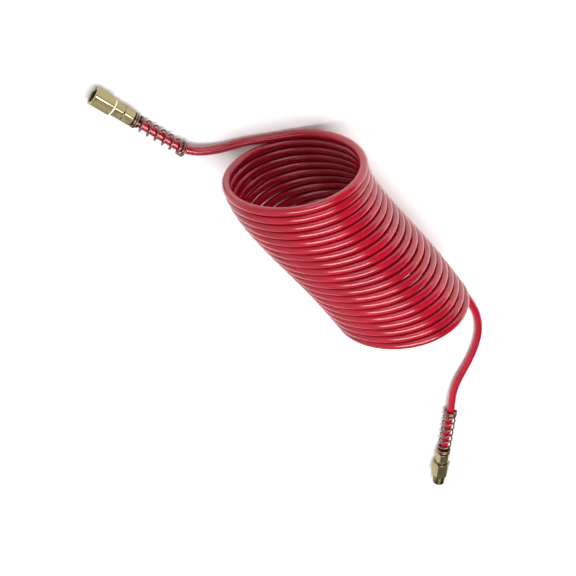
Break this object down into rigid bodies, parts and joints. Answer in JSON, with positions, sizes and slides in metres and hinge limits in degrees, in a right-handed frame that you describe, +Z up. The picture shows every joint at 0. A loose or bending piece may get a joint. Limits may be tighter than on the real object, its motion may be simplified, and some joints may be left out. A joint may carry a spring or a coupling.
{
  "type": "coiled air hose",
  "caption": "Red nylon recoil air hose lying on its side, close-wound coil with two tails, a wire spring guard and brass fitting on each end, one a free-turning nut, one a male thread.",
  "frame": {"origin": "on the floor, under the centre of the object's bounding box", "axes": "+Z up from the floor the hose lies on; +Y along the stack of turns, from the inlet end to the outlet end; +X towards the side where the inlet end lies"},
  "size_m": [0.3319, 0.5282, 0.128],
  "materials": {
    "red_nylon": "glossy extruded nylon, slightly translucent",
    "fitting_brass": "machined bright brass",
    "guard_wire": "drawn zinc-plated spring wire",
    "ring_wire": "drawn spring wire",
    "washer_plastic": "moulded, slippery",
    "seal_rubber": "moulded, smooth"
  },
  "bodies": {
    "inlet_end": {"hose_coil": "red_nylon", "inlet_tail": "red_nylon", "inlet_spring_guard": "guard_wire", "inlet_compression_nut": "fitting_brass", "inlet_ferrule": "fitting_brass", "inlet_hose_insert": "fitting_brass", "inlet_fitting_body": "fitting_brass", "inlet_thrust_washer": "washer_plastic", "inlet_seal_ring": "seal_rubber", "inlet_retaining_ring": "ring_wire"},
    "swivel": {"inlet_swivel_nut": "fitting_brass"},
    "outlet_end": {"outlet_tail": "red_nylon", "outlet_spring_guard": "guard_wire", "outlet_compression_nut": "fitting_brass", "outlet_ferrule": "fitting_brass", "outlet_hose_insert": "fitting_brass", "outlet_fitting_body": "fitting_brass"}
  },
  "joints": [
    {"name": "coil_extension", "type": "slide", "parent": "inlet_end", "child": "outlet_end", "axis": [0, 1, 0], "range_m": [0, 1.2], "stiffness_N_per_m": 8, "deforming": ["hose_coil"]},
    {"name": "swivel_spin", "type": "hinge", "parent": "inlet_end", "child": "swivel", "pos_m": [0.15284, -0.25094, 0.0085], "axis": [0.7071, -0.7071, 0], "continuous": true}
  ]
}
